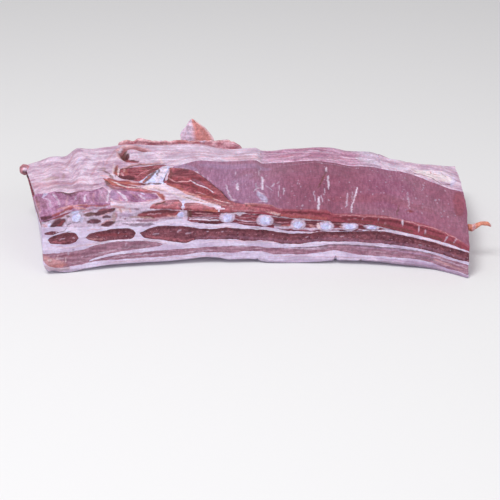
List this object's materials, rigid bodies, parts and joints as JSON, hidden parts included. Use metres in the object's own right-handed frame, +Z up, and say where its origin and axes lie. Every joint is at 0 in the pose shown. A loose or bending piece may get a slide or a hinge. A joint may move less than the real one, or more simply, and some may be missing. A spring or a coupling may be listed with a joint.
{
  "type": "pork belly slab",
  "caption": "Raw bone-in pork belly slab lying skin side down, with layered lean and fat on its cut face.",
  "frame": {"origin": "under the middle of the whole slab, on the surface it lies on", "axes": "+X along the slab from the brisket end to the flank end, +Y from the cut rib face to the back edge, +Z up"},
  "size_m": [0.5322, 0.2226, 0.098],
  "materials": {
    "fat": "moist satin, white-pink pork fat",
    "pale_lean": "moist, fine-grained pale lean",
    "dark_lean": "moist dark red lean with fat strands",
    "sheet_lean": "wet mauve lean under a thin membrane",
    "red_trim": "moist ragged red trim",
    "bone": "wet bluish-white rib and cartilage ends"
  },
  "bodies": {
    "root": {"skin_fat": "fat", "brisket_seam_fat": "fat", "seam_fat": "fat", "upper_seam_fat": "fat", "cover_fat": "fat", "flank_fat": "fat", "flank_lean": "pale_lean", "brisket_lean": "pale_lean", "dark_lean_1": "dark_lean", "dark_lean_2": "dark_lean", "dark_lean_3": "dark_lean", "dark_streak": "dark_lean", "rib_band": "dark_lean", "inner_muscle": "sheet_lean", "back_muscle": "sheet_lean", "fore_muscle": "sheet_lean", "rib_membrane": "sheet_lean", "diaphragm": "red_trim", "neck_muscle_1": "red_trim", "neck_muscle_2": "red_trim", "neck_muscle_3": "red_trim", "neck_muscle_4": "red_trim", "back_trim": "red_trim", "back_flap": "red_trim", "end_strand": "red_trim", "corner_nub": "red_trim", "costal_cartilage": "bone", "rib_1": "bone", "rib_2": "bone", "rib_3": "bone", "rib_4": "bone", "rib_5": "bone", "rib_6": "bone", "rib_7": "bone", "rib_tip": "bone"}
  },
  "joints": []
}
